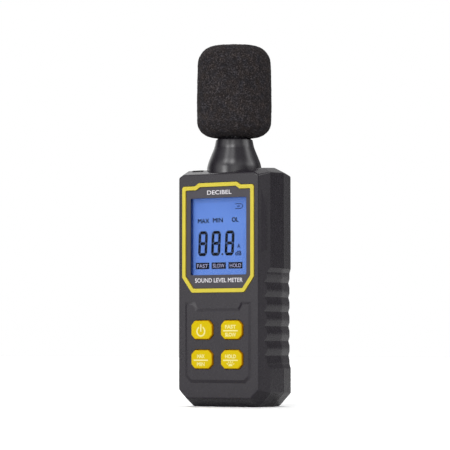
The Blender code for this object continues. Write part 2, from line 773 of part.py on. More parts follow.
def build_screws():
    """Pan-head screws from the back, each with a cross recess."""
    kinds = (
        ("case_screw", CASE_SCREWS, 2.45, SCREW_SEAT_Y + GAP, 15.6),
        ("board_screw", BOARD_SCREWS, 2.2, BOARD_BACK_Y + GAP, 5.8),
    )
    for name, places, head, seat, length in kinds:
        profile = [(0, length), (1.1, length), (1.1, 0)]
        profile += [(head, 0), (head, -1.2), (head - 0.7, -1.8), (0, -1.8)]
        for index, (x, z) in enumerate(places, start=1):
            screw = turned(f"{name}_{index}", profile, STEEL, steps=16, location=(x, seat, z), facing="Y")
            top = seat + 1.8
            for arm, (wide, high) in enumerate(((1.4, 0.25), (0.25, 1.4))):
                recess = box(
                    f"{name} {index} recess {arm}",
                    (x - wide, top - 0.9, z - high),
                    (x + wide, top + 1, z + high),
                )
                combine(screw, "DIFFERENCE", recess)


def build_hardware():
    turned(
        "tripod_insert",
        [(INSERT_RADIUS, 7.8), (INSERT_RADIUS, 0), (3.175, 0), (3.175, 7.8)],
        BRASS,
        steps=32,
        location=(0, BACK_Y, INSERT_Z),
        facing="Y",
        ring=True,
    )
    x, y = PLUG_CENTRE
    wide, deep = (size / 2 for size in PLUG_SIZE)
    low, high = (x - wide, y - deep, 124.2), (x + wide, y + deep, PLUG_TOP)
    plug = bevel(box("calibration_plug", low, high, RUBBER_BLACK), 0.35)
    hang(plug, joint_empty("plug_slide", (x, y, PLUG_TOP)))


# ---------------------------------------------------------------- batteries


def cell_spring(name, x, start, end):
    """A conical contact spring between two heights, wide at the start."""
    turns, points_per_turn = 3, 10
    curve = bpy.data.curves.new(name, "CURVE")
    curve.dimensions = "3D"
    curve.bevel_depth = 0.3 * MM
    curve.bevel_resolution = 1
    curve.use_fill_caps = True
    spline = curve.splines.new("POLY")
    count = turns * points_per_turn
    spline.points.add(count)
    for index, point in enumerate(spline.points):
        along = index / count
        turn = 2 * math.pi * index / points_per_turn
        radius = 3.6 - 1.6 * along
        position = Vector((x + radius * math.cos(turn), CELL_Y + radius * math.sin(turn), start))
        position.z += (end - start) * along
        point.co = (*(position * MM), 1)
    return place(bpy.data.objects.new(name, curve), STEEL)


def build_batteries():
    clear_end = 1.4
    for index, x in enumerate((-CELL_PITCH, 0, CELL_PITCH), start=1):
        upright = -1 if index == 2 else 1
        nub_wall = BAY_HIGH if upright == 1 else BAY_LOW
        spring_wall = BAY_LOW if upright == 1 else BAY_HIGH
        plate_low, plate_high = sorted((nub_wall - upright * GAP, nub_wall - upright * 0.8))
        low = (x - 3.5, CELL_Y - 3.5, plate_low)
        high = (x + 3.5, CELL_Y + 3.5, plate_high)
        box(f"contact_plate_{index}", low, high, STEEL)
        nub_z = nub_wall - upright * (0.8 + GAP)
        shoulder, foot = -1.0, -1.0 - CELL_LENGTH
        profile = [(0, 0), (1.9, 0), (1.9, shoulder), (4.6, shoulder), (CELL_RADIUS, shoulder - 0.6)]
        profile += [(CELL_RADIUS, foot + 0.6), (4.6, foot), (0, foot)]
        cell = turned(f"battery_{index}", profile, CELL_WRAP, steps=28, location=(x, CELL_Y, nub_z))
        if upright == -1:
            cell.matrix_world = cell.matrix_world @ Matrix.Rotation(math.pi, 4, "X")
        cell_foot = nub_z + upright * foot
        spring_start = spring_wall + upright * (clear_end - 0.7)
        cell_spring(f"contact_spring_{index}", x, spring_start, cell_foot - upright * 0.65)


def build_battery_door():
    edge = GAP
    low = (-BAY_HALF + edge, BACK_Y - DOOR_THICKNESS, BAY_LOW + edge)
    high = (BAY_HALF - edge, BACK_Y, BAY_HIGH - edge)
    door = box("battery_door", low, high, CASE_GREY)
    tongue_top = high[2] - 3.2
    for side in (-1, 1):
        x = side * DOOR_TAB_X
        tab_low, tab_high = (x - 2, BACK_Y - 1.7, BAY_LOW - 1.2), (x + 2, BACK_Y - 0.9, BAY_LOW + 1)
        combine(door, "UNION", box(f"door tab {side}", tab_low, tab_high))
    for side in (-1, 1):
        x = side * 6.0
        slit = box(f"latch slit {side}", (x - 0.4, 10, high[2] - 9), (x + 0.4, 20, high[2] + 2))
        combine(door, "DIFFERENCE", slit)
    groove_y = BACK_Y + 0.15
    for index in range(3):
        z = tongue_top - 2.0 * index
        groove = rod(f"thumb groove {index}", (-4.6, groove_y, z), (4.6, groove_y, z), 0.6, segments=10)
        combine(door, "DIFFERENCE", groove)
    hang(door, joint_empty("battery_door_hinge", (0, BACK_Y, BAY_LOW + edge)))


build_case()
build_nose()
build_microphone()
build_windscreen()
build_display()
build_keys()
build_board()
build_screws()
build_hardware()
build_batteries()
build_battery_door()
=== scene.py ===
"""The looks of a hand-held sound level meter: fine surfaces, materials, prints, floor, light and camera."""

import math

import bmesh
import bpy
from mathutils import Matrix, Vector, noise


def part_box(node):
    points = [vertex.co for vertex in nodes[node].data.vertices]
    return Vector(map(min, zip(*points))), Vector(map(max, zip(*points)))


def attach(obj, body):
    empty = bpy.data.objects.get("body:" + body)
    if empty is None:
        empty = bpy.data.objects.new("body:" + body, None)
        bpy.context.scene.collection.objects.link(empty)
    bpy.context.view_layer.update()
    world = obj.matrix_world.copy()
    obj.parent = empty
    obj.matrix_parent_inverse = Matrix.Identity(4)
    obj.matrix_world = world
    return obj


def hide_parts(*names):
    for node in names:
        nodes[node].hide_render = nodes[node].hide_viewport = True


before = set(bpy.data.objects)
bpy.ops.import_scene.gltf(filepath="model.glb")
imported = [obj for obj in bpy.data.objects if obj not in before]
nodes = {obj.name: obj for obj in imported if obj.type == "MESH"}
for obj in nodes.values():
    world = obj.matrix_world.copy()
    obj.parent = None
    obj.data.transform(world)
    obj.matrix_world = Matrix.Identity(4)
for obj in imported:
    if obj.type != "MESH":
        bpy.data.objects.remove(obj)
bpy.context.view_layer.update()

# Lengths are in millimetres, colours are sRGB from 0 to 255, and the meter's front faces -Y.
MM = 0.001
SLIVER = 0.02  # how far one printed layer stands in front of the next

CAMERA_BEARING = math.radians(31.8)  # from straight in front, towards +X
CAMERA_DISTANCE = 1280.0
CAMERA_HEIGHT = 33.0
CAMERA_PITCH = math.radians(2.9)
CAMERA_TURN = math.radians(0.225)
CAMERA_LENS = 189.6

SEAM_Y = 5.2  # where the two halves of the case meet
CASE_WALL = 2.0
LIP_INSIDE = (0.1, 0.9)  # how far inside the wall the two faces of a lip stand
LIP_REACH = 1.3  # how far a lip stands behind and in front of the seam
WELD_DISTANCE = 0.001
SMOOTH_BELOW = math.radians(32)  # an edge that turns by less is shaded smooth

FLOOR_SHOWN = 1.45  # how bright the floor's colour is to the camera
FLOOR_DARK = (206, 206, 206)  # and what it throws back, between these two
FLOOR_LIGHT = (212, 212, 211)
FLOOR_SIZE = 8.0  # metres

# Each soft panel of the studio's light: bearing from the front, height, how tightly it gathers, strength.
PANELS = (
    (20, 38, 70, 6.3),
    (350, 38, 70, 5.3),
    (350, 6, 70, 6.4),
    (225, 52, 14, 3.2),
    (118, 22, 70, 2.0),
    (98, 22, 70, 1.9),
    (118, 38, 70, 1.6),
    (30, 4, 14, 1.6),
    (330, 4, 14, 1.25),
    (240, 4, 14, 1.1),
    (120, 28, 14, 0.95),
    (60, 28, 14, 0.8),
    (330, 28, 14, 0.75),
    (180, 52, 14, 0.65),
    (172, 6, 40, 0.28),
    (109, 2, 40, 0.2),
)

# Painted shade for the pits between the foam's cells
FOAM_PIT_SHADE = (14, 12, 12)
FOAM_STRUT = (95, 86, 84)
FOAM_STRUT_COOL = (84, 82, 88)
FOAM_CELL = 0.52
FOAM_RING = 240  # vertices around the windscreen
FOAM_STEP = 0.55  # and the spacing of its rings

LCD_LIGHT = (79, 109, 168)
LCD_DEEP = (54, 82, 146)
LCD_GLOW = 0.7
ACRYLIC = (240, 243, 248)

KEY_FACE = (6.65, 5.05)  # half the width and height of a key's cap
KEY_SKIRT = 1.0  # how thick the flange is that holds a key in
LEGEND_SHIFT = (-0.35, -0.5)  # legends sit this far from the middle of a key


def corners(node):
    """Lowest and highest corner of a CAD node, in millimetres."""
    low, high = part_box(node)
    return low / MM, high / MM


def linear(colour):
    """A 0-255 sRGB colour as linear RGBA."""
    channels = [value / 255 for value in colour]
    return (*(c / 12.92 if c <= 0.04045 else ((c + 0.055) / 1.055) ** 2.4 for c in channels), 1.0)


# ------------------------------------------------------------ shader nodes


def add(tree, kind, inputs=None, **settings):
    """A new shader node, with its settings, and its inputs given as values or as sockets to link."""
    node = tree.nodes.new(kind)
    for name, value in settings.items():
        setattr(node, name, value)
    for name, value in (inputs or {}).items():
        if isinstance(value, bpy.types.NodeSocket):
            tree.links.new(value, node.inputs[name])
        else:
            node.inputs[name].default_value = value
    return node


def blank(name):
    """A new material, with its node tree and its shader."""
    material = bpy.data.materials.new(name)
    material.use_nodes = True
    return material, material.node_tree, material.node_tree.nodes["Principled BSDF"]


def place_of(tree):
    """The point on the surface, in metres from the part's origin."""
    return add(tree, "ShaderNodeTexCoord").outputs["Object"]


def grain(tree, size, detail=3.0, rough=0.55, stretch=None):
    """Noise whose features are about this many millimetres across."""
    vector = place_of(tree)
    if stretch:
        vector = add(tree, "ShaderNodeMapping", {"Vector": vector, "Scale": stretch}).outputs["Vector"]
    inputs = {"Vector": vector, "Scale": 1 / (size * MM), "Detail": detail, "Roughness": rough}
    return add(tree, "ShaderNodeTexNoise", inputs).outputs["Fac"]


def spread(tree, value, low, high, start=0.3, end=0.7):
    """Map a value between start and end to a value between low and high."""
    inputs = {"Value": value, "From Min": start, "From Max": end, "To Min": low, "To Max": high}
    return add(tree, "ShaderNodeMapRange", inputs).outputs["Result"]


def blend(tree, factor, first, second):
    """Mix two colours, each a socket or a linear RGBA."""
    mix = add(tree, "ShaderNodeMix", data_type="RGBA")
    for index, value in ((0, factor), (6, first), (7, second)):
        if isinstance(value, bpy.types.NodeSocket):
            tree.links.new(value, mix.inputs[index])
        else:
            mix.inputs[index].default_value = value
    return mix.outputs[2]


def maths(tree, operation, first, second=0.0):
    """A sum on two values, each a number or a socket."""
    node = add(tree, "ShaderNodeMath", operation=operation)
    for socket, value in zip(node.inputs, (first, second)):
        if isinstance(value, bpy.types.NodeSocket):
            tree.links.new(value, socket)
        else:
            socket.default_value = value
    return node.outputs[0]


def bump(tree, height, depth, under=None):
    """A normal from a height field whose full range is this many millimetres deep."""
    inputs = {"Height": height, "Distance": depth * MM, "Strength": 1.0}
    if under:
        inputs["Normal"] = under
    return add(tree, "ShaderNodeBump", inputs).outputs["Normal"]


def facing(tree, axis):
    """How far a surface turns towards one axis of the part, from 0 to 1 either way."""
    normal = add(tree, "ShaderNodeNewGeometry").outputs["Normal"]
    split = add(tree, "ShaderNodeSeparateXYZ", {"Vector": normal})
    return maths(tree, "ABSOLUTE", split.outputs[axis])


# -------------------------------------------------------------- materials


def scaled(colour, factor):
    """A linear colour made lighter or darker."""
    return (*(value * factor for value in linear(colour)[:3]), 1.0)


def plastic(
    name, colour, roughness, depth=0.007, size=0.22, variation=0.10, edge=None, side=None, gloss=0.5
):
    """Moulded plastic: faint flow mottling and a fine spark-eroded texture.

    Its colour may differ on rubbed edges, and walls that turn away from the front may take a painted shade.
    """
    material, tree, shader = blank(name)
    dark, light = scaled(colour, 1 - variation), scaled(colour, 1 + variation)
    mottle = spread(tree, grain(tree, 7.0), 0.0, 1.0)
    pepper = spread(tree, grain(tree, size * 1.6, detail=1.0), 0.0, 1.0)
    mixed = maths(tree, "ADD", maths(tree, "MULTIPLY", mottle, 0.6), maths(tree, "MULTIPLY", pepper, 0.4))
    surface = blend(tree, mixed, dark, light)
    # side is a painted shade colour for walls that turn away from the front
    if side:
        wall_shade_mask = spread(tree, facing(tree, "Y"), 1.0, 0.0, 0.55, 0.97)
        surface = blend(tree, wall_shade_mask, surface, linear(side))
    if edge:
        rounded = add(tree, "ShaderNodeBevel", {"Radius": 0.25 * MM}, samples=4).outputs["Normal"]
        flat = add(tree, "ShaderNodeNewGeometry").outputs["Normal"]
        agree = add(tree, "ShaderNodeVectorMath", operation="DOT_PRODUCT")
        tree.links.new(rounded, agree.inputs[0])
        tree.links.new(flat, agree.inputs[1])
        worn = spread(tree, agree.outputs["Value"], 1.0, 0.0, 0.86, 0.99)
        patchy = maths(tree, "MULTIPLY", worn, spread(tree, grain(tree, 2.5), 0.2, 0.8))
        surface = blend(tree, patchy, surface, linear(edge))
    tree.links.new(surface, shader.inputs["Base Color"])
    rough = spread(tree, grain(tree, 3.0), roughness - 0.015, roughness + 0.02)
    tree.links.new(rough, shader.inputs["Roughness"])
    shader.inputs["Specular IOR Level"].default_value = gloss
    fine = grain(tree, size, detail=2.0, rough=0.6)
    tree.links.new(bump(tree, fine, depth), shader.inputs["Normal"])
    return material


def metal(name, colour, roughness, stretch=(1, 1, 1)):
    """Plated or turned metal with fine tool marks."""
    material, tree, shader = blank(name)
    marks = grain(tree, 0.5, detail=4.0, rough=0.65, stretch=stretch)
    surface = blend(tree, spread(tree, marks, 0.0, 1.0), scaled(colour, 0.78), linear(colour))
    tree.links.new(surface, shader.inputs["Base Color"])
    tree.links.new(spread(tree, marks, roughness - 0.07, roughness + 0.1), shader.inputs["Roughness"])
    tree.links.new(bump(tree, marks, 0.004), shader.inputs["Normal"])
    shader.inputs["Metallic"].default_value = 1.0
    return material


def open_foam():
    """Dark open-cell foam: painted light on cells that catch it unevenly, between pits darkened by painted
    shade.
    """
    material, tree, shader = blank("open_cell_foam")
    place = place_of(tree)
    wobble = add(tree, "ShaderNodeTexNoise", {"Vector": place, "Scale": 1 / (0.8 * MM), "Detail": 2.0})
    nudged = add(tree, "ShaderNodeVectorMath", operation="MULTIPLY_ADD")
    tree.links.new(wobble.outputs["Color"], nudged.inputs[0])
    nudged.inputs[1].default_value = (0.5 * MM,) * 3
    tree.links.new(place, nudged.inputs[2])
    inputs = {"Vector": nudged.outputs["Vector"], "Scale": 1 / (FOAM_CELL * MM)}
    edges = add(tree, "ShaderNodeTexVoronoi", inputs, feature="DISTANCE_TO_EDGE").outputs["Distance"]
    cells = add(tree, "ShaderNodeTexVoronoi", inputs).outputs["Color"]
    chance = add(tree, "ShaderNodeSeparateColor", {"Color": cells}).outputs["Red"]
    # Random cells get a painted glint, and the pits between the struts a painted shade
    painted_glint = maths(tree, "POWER", chance, 3.0)
    strut = maths(tree, "MULTIPLY", spread(tree, edges, 1.0, 0.0, 0.02, 0.3), 0.45)
    patches = spread(tree, grain(tree, 6.0, detail=4.0, rough=0.7), 0.74, 1.0)
    lit = maths(tree, "MULTIPLY", maths(tree, "MAXIMUM", strut, painted_glint), patches)
    warmth = spread(tree, grain(tree, 4.0), 0.0, 1.0)
    shown = blend(tree, warmth, linear(FOAM_STRUT), linear(FOAM_STRUT_COOL))
    tree.links.new(blend(tree, lit, linear(FOAM_PIT_SHADE), shown), shader.inputs["Base Color"])
    tree.links.new(spread(tree, lit, 0.98, 0.8, 0.0, 1.0), shader.inputs["Roughness"])
    shader.inputs["Specular IOR Level"].default_value = 0.08
    lumps = bump(tree, grain(tree, 1.3, detail=5.0, rough=0.7), 0.2)
    tree.links.new(bump(tree, lit, 0.28, under=lumps), shader.inputs["Normal"])
    return material


def backlit_glass():
    """The liquid-crystal panel: an even blue glow, a shade deeper towards its rim."""
    material, tree, shader = blank("backlit_lcd")
    high = corners("lcd_panel")[1]
    split = add(tree, "ShaderNodeSeparateXYZ", {"Vector": place_of(tree)})
    across = maths(tree, "ABSOLUTE", split.outputs["X"])
    rim_x = spread(tree, across, 0.0, 1.0, high.x * 0.7 * MM, high.x * MM)
    top = spread(tree, split.outputs["Z"], 0.0, 1.0, (high.z - 14) * MM, high.z * MM)
    rim = maths(tree, "MAXIMUM", rim_x, top)
    cloud = spread(tree, grain(tree, 9.0, detail=1.0), -0.08, 0.08)
    deepening = maths(tree, "ADD", maths(tree, "MULTIPLY", rim, 0.35), cloud)
    surface = blend(tree, deepening, linear(LCD_LIGHT), linear(LCD_DEEP))
    tree.links.new(surface, shader.inputs["Base Color"])
    tree.links.new(surface, shader.inputs["Emission Color"])
    shader.inputs["Emission Strength"].default_value = LCD_GLOW
    shader.inputs["Roughness"].default_value = 0.35
    shader.inputs["Specular IOR Level"].default_value = 0.1
    tree.links.new(bump(tree, grain(tree, 0.12, detail=1.0), 0.002), shader.inputs["Normal"])
    return material


def clear_window():
    """Clear acrylic that lets light through to the panel behind it."""
    material, tree, shader = blank("clear_acrylic")
    shader.inputs["Base Color"].default_value = linear(ACRYLIC)
    shader.inputs["Transmission Weight"].default_value = 1.0
    shader.inputs["IOR"].default_value = 1.15
    tree.links.new(spread(tree, grain(tree, 20.0), 0.0, 0.006), shader.inputs["Roughness"])
    open_way = add(tree, "ShaderNodeBsdfTransparent", {"Color": linear(ACRYLIC)})
    shadow = add(tree, "ShaderNodeLightPath").outputs["Is Shadow Ray"]
    choice = add(tree, "ShaderNodeMixShader", {"Fac": shadow})
    tree.links.new(shader.outputs["BSDF"], choice.inputs[1])
    tree.links.new(open_way.outputs["BSDF"], choice.inputs[2])
    tree.links.new(choice.outputs["Shader"], tree.nodes["Material Output"].inputs["Surface"])
    return material


def circuit_board():
    """Green solder mask over copper tracks."""
    material, tree, shader = blank("solder_mask")
    turned = add(tree, "ShaderNodeMapping", {"Vector": place_of(tree), "Rotation": (math.pi / 2, 0, 0)})
    inputs = {"Vector": turned.outputs["Vector"], "Scale": 1 / (9 * MM), "Mortar Size": 0.03}
    inputs["Brick Width"] = 0.55
    inputs["Row Height"] = 0.16
    tracks = add(tree, "ShaderNodeTexBrick", inputs).outputs["Fac"]
    cloud = spread(tree, grain(tree, 5.0), 0.0, 1.0)
    mask = blend(tree, cloud, linear((16, 78, 44)), linear((24, 98, 56)))
    tree.links.new(blend(tree, tracks, mask, linear((48, 132, 78))), shader.inputs["Base Color"])
    tree.links.new(spread(tree, grain(tree, 2.0), 0.25, 0.4), shader.inputs["Roughness"])
    tree.links.new(bump(tree, tracks, 0.03), shader.inputs["Normal"])
    return material


def cell_wrap(nub_up):
    """A dry cell's printed sleeve: a dark body with bands of painted sheen, and a gold band at its positive
    end.
    """
    material, tree, shader = blank("cell_wrap_up" if nub_up else "cell_wrap_down")
    low, high = corners("battery_1" if nub_up else "battery_2")
    band = 11
    split = add(tree, "ShaderNodeSeparateXYZ", {"Vector": place_of(tree)})
    edge = (high.z - band if nub_up else low.z + band) * MM
    in_band = maths(tree, "GREATER_THAN" if nub_up else "LESS_THAN", split.outputs["Z"], edge)
    # Lighter wavy bands on the body are a painted sheen
    stripe = add(tree, "ShaderNodeTexWave", {"Vector": place_of(tree), "Scale": 90.0, "Distortion": 0.4})
    sheen = spread(tree, stripe.outputs["Fac"], 0.0, 0.25)
    body = blend(tree, sheen, linear((36, 78, 58)), linear((60, 116, 84)))
    band_colour = blend(tree, grain(tree, 1.0), linear((176, 138, 62)), linear((206, 170, 92)))
    tree.links.new(blend(tree, in_band, body, band_colour), shader.inputs["Base Color"])
    tree.links.new(spread(tree, grain(tree, 4.0), 0.22, 0.36), shader.inputs["Roughness"])
    tree.links.new(bump(tree, grain(tree, 2.0), 0.02), shader.inputs["Normal"])
    return material


def pale_floor():
    """A pale studio floor, shown a little brighter than the light that it throws back."""
    material, tree, shader = blank("pale_floor")
    tone = spread(tree, grain(tree, 60.0, detail=2.0), 0.0, 1.0)
    pale = blend(tree, tone, linear(FLOOR_DARK), linear(FLOOR_LIGHT))
    shown = blend(tree, tone, (FLOOR_SHOWN,) * 3 + (1,), (FLOOR_SHOWN * 1.03,) * 3 + (1,))
    camera_ray = add(tree, "ShaderNodeLightPath").outputs["Is Camera Ray"]
    tree.links.new(blend(tree, camera_ray, pale, shown), shader.inputs["Base Color"])
    shader.inputs["Roughness"].default_value = 0.9
    shader.inputs["Specular IOR Level"].default_value = 0.1
    return material


CASE = plastic("case_plastic", (40, 36, 43), 0.27, depth=0.0015, edge=(50, 47, 53))
NOSE = plastic("nose_plastic", (37, 34, 40), 0.21, depth=0.0015, gloss=0.62)
BEZEL = plastic("bezel_plastic", (74, 71, 78), 0.36, gloss=0.3, depth=0.003)
# The trim's side colour is a painted shade on its walls
TRIM = plastic(
    "trim_plastic", (221, 204, 68), 0.36, depth=0.002, variation=0.04, side=(200, 168, 44), gloss=0.25
)
# Painted shade for the walls of a key that turn away from the front
KEY_WALL_SHADE = (204, 138, 4)
KEY = plastic(
    "key_plastic", (224, 196, 3), 0.42, depth=0.003, size=0.3, variation=0.04, side=KEY_WALL_SHADE, gloss=0.08
)
LEGEND = plastic("key_legend", (246, 238, 160), 0.5, depth=0.003, variation=0.03, gloss=0.1)
LETTER = plastic("white_print", (236, 233, 238), 0.5, depth=0.003, variation=0.03, gloss=0.3)
LCD_INK = plastic("lcd_segment", (5, 6, 14), 0.4, depth=0.002, variation=0.2, gloss=0.05)
LCD_WORD = plastic("lcd_box_word", (170, 166, 194), 0.4, depth=0.002, variation=0.05, gloss=0.05)
LCD_PALE_INK = plastic("lcd_faint_segment", (24, 36, 74), 0.4, depth=0.002, variation=0.1, gloss=0.05)
BLACK_RUBBER = plastic("black_rubber", (18, 18, 19), 0.72, depth=0.02, size=0.4)
MAT_SILICONE = plastic("key_mat_silicone", (196, 196, 190), 0.55, depth=0.01)
DIFFUSER = plastic("light_guide_white", (206, 216, 238), 0.4, depth=0.006)
LCD_FRAME = plastic("light_guide_rim", (48, 80, 150), 0.4, depth=0.003, gloss=0.1)
CHIP = plastic("chip_epoxy", (26, 26, 28), 0.5, depth=0.02)
TRIMMER = plastic("trimmer_blue", (40, 84, 170), 0.4, depth=0.006)
WIRE_RED = plastic("wire_red", (178, 30, 28), 0.45, depth=0.006)
WIRE_BLACK = plastic("wire_black", (26, 26, 28), 0.45, depth=0.006)
STEEL = metal("nickel_plate", (196, 196, 198), 0.3)
TURNED_STEEL = metal("turned_steel", (188, 188, 190), 0.28, stretch=(0.2, 0.2, 4))
BRASS = metal("turned_brass", (206, 170, 92), 0.3, stretch=(1, 4, 1))
FOAM = open_foam()
LCD = backlit_glass()
WINDOW = clear_window()
BOARD = circuit_board()


# ---------------------------------------------------------------- meshes


def smooth_group():
    """Geometry nodes that shade a mesh smooth, with sharp edges past a set angle."""
    group = bpy.data.node_groups.new("smooth by angle", "GeometryNodeTree")
    for way in ("INPUT", "OUTPUT"):
        group.interface.new_socket("Geometry", in_out=way, socket_type="NodeSocketGeometry")
    source = group.nodes.new("NodeGroupInput")
    sink = group.nodes.new("NodeGroupOutput")
    angle = group.nodes.new("GeometryNodeInputMeshEdgeAngle")
    gentle = group.nodes.new("FunctionNodeCompare")
    gentle.operation = "LESS_THAN"
    gentle.inputs[1].default_value = SMOOTH_BELOW
    faces = group.nodes.new("GeometryNodeSetShadeSmooth")
    edges = group.nodes.new("GeometryNodeSetShadeSmooth")
    edges.domain = "EDGE"
    links = group.links
    links.new(angle.outputs["Unsigned Angle"], gentle.inputs[0])
    links.new(source.outputs[0], faces.inputs["Geometry"])
    links.new(faces.outputs["Geometry"], edges.inputs["Geometry"])
    links.new(gentle.outputs["Result"], edges.inputs["Shade Smooth"])
    links.new(edges.outputs["Geometry"], sink.inputs[0])
    return group


SMOOTH = smooth_group()


def soften(piece, edge):
    """Join a faceted piece's triangles into flat faces, round its edges if asked, and shade it smooth."""
    weld = piece.modifiers.new("weld", "WELD")
    weld.merge_threshold = WELD_DISTANCE * MM
    flat = piece.modifiers.new("flat faces", "DECIMATE")
    flat.decimate_type = "DISSOLVE"
    flat.angle_limit = math.radians(0.5)
    if edge:
        round_edges(piece, edge, segments=2, angle=18)
    shade(piece)


def shade(piece):
    """Smooth shading that keeps broad faces flat."""
    piece.modifiers.new("smooth by angle", "NODES").node_group = SMOOTH
    weighted = piece.modifiers.new("broad faces stay flat", "WEIGHTED_NORMAL")
    weighted.keep_sharp = True
    weighted.weight = 80


def round_edges(piece, width, segments=2, angle=30):
    """Round the edges that turn by more than an angle in degrees."""
    bevel = piece.modifiers.new("round edges", "BEVEL")
    bevel.width = width * MM
    bevel.segments = segments
    bevel.limit_method = "ANGLE"
    bevel.angle_limit = math.radians(angle)


def dress(names, material, edge=0.0):
    """Give CAD nodes a material and, where an edge width is given, rounded edges."""
    for name in names:
        piece = nodes[name]
        piece.data.materials.clear()
        piece.data.materials.append(material)
        soften(piece, edge)


def add_piece(name, mesh, material, body):
    """A new piece that rides on a body."""
    piece = bpy.data.objects.new(name, mesh)
    bpy.context.scene.collection.objects.link(piece)
    mesh.materials.clear()
    mesh.materials.append(material)
    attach(piece, body)
    return piece


def mesh_of(name, shape):
    """A mesh made from a bmesh, which is freed."""
    bmesh.ops.recalc_face_normals(shape, faces=shape.faces)
    mesh = bpy.data.meshes.new(name)
    shape.to_mesh(mesh)
    shape.free()
    return mesh


def slabs(name, outlines, front, back):
    """Flat (x, z) outlines in millimetres, each made a closed slab between two depths."""
    shape = bmesh.new()
    for outline in outlines:
        verts = [shape.verts.new(Vector((x, back, z)) * MM) for x, z in outline]
        face = shape.faces.new(verts)
        grown = bmesh.ops.extrude_face_region(shape, geom=[face], use_keep_orig=True)["geom"]
        moved = [item for item in grown if isinstance(item, bmesh.types.BMVert)]
        bmesh.ops.translate(shape, vec=Vector((0, front - back, 0)) * MM, verts=moved)
    return mesh_of(name, shape)


def rounded(outline, radius, steps=4):
    """Replace each corner of an outline by an arc."""
    points = []
    for index, corner in enumerate(outline):
        corner = Vector(corner)
        back = (Vector(outline[index - 1]) - corner).normalized()
        ahead = (Vector(outline[(index + 1) % len(outline)]) - corner).normalized()
        half = back.angle(ahead) / 2
        centre = corner + (back + ahead).normalized() * radius / math.sin(half)
        start = corner + back * radius / math.tan(half) - centre
        end = corner + ahead * radius / math.tan(half) - centre
        turn = start.angle_signed(end)
        for step in range(steps + 1):
            points.append(centre + Matrix.Rotation(-turn * step / steps, 2) @ start)
    return points


def block(x, z, width, height):
    """A rectangular outline centred on (x, z)."""
    wide, high = width / 2, height / 2
    return [(x - wide, z - high), (x + wide, z - high), (x + wide, z + high), (x - wide, z + high)]


def letters(name, words, x, z, width, height, front, bold=0.0):
    """Words as a thin layer that faces -Y, fitted to a width and height and centred on (x, z).

    Bold is how far each stroke grows on both sides, in millimetres.
    """
    curve = bpy.data.curves.new(name, "FONT")
    curve.body = words
    curve.extrude = 0.5
    curve.resolution_u = 3
    text = bpy.data.objects.new(name, curve)
    mesh = bpy.data.meshes.new_from_object(text)
    bpy.data.objects.remove(text)
    shape = bmesh.new()
    shape.from_mesh(mesh)
    bpy.data.meshes.remove(mesh)
    bmesh.ops.remove_doubles(shape, verts=shape.verts, dist=0.00001)
    across = [vert.co.x for vert in shape.verts]
    up = [vert.co.y for vert in shape.verts]
    middle_x, middle_z = (min(across) + max(across)) / 2, (min(up) + max(up)) / 2
    scale_x = (width - 2 * bold) / (max(across) - min(across))
    scale_z = (height - 2 * bold) / (max(up) - min(up))
    for vert in shape.verts:
        right, above, ahead = vert.co
        right, above = (right - middle_x) * scale_x, (above - middle_z) * scale_z
        vert.co = Vector((x + right, front + (0.5 - ahead) * SLIVER, z + above)) * MM
    bmesh.ops.recalc_face_normals(shape, faces=shape.faces)
    if bold:
        sides = {}
        for vert in shape.verts:
            walls = [face.normal for face in vert.link_faces if abs(face.normal.y) < 0.5]
            sides[vert] = sum(walls, Vector()).normalized() if walls else Vector()
        for vert, side in sides.items():
            vert.co += side * bold * MM
    return mesh_of(name, shape)


# ------------------------------------------------------------ windscreen


def foam_profile(low, high):
    """The foam's outside and bore, from its top to the end of its bore, as (radius, height) points."""
    radius = high.x
    bottom, top = low.z, high.z
    bore = corners("microphone_tube")[1].x + 0.3
    bore_end = bottom + 27
    turns = [math.pi / 2 * step / 24 for step in range(25)]
    outline = [(0, top)]
    for turn in turns:
        outline.append((radius - 0.4 - 9.0 * (1 - math.sin(turn)), top - 0.8 - 10.5 * (1 - math.cos(turn))))
    outline.append((radius, bottom + 19))
    for turn in turns:
        outline.append((radius - 0.2 - 9.0 * (1 - math.cos(turn)), bottom + 8.6 * (1 - math.sin(turn))))
    outline += [(bore, bottom), (bore, bore_end), (0, bore_end)]
    return [Vector(point) for point in outline]


def resample(route, spacing):
    """Points at an even spacing along a route."""
    points = [route[0]]
    for start, end in zip(route, route[1:]):
        count = max(1, round((end - start).length / spacing))
        points += [start.lerp(end, step / count) for step in range(1, count + 1)]
    return points


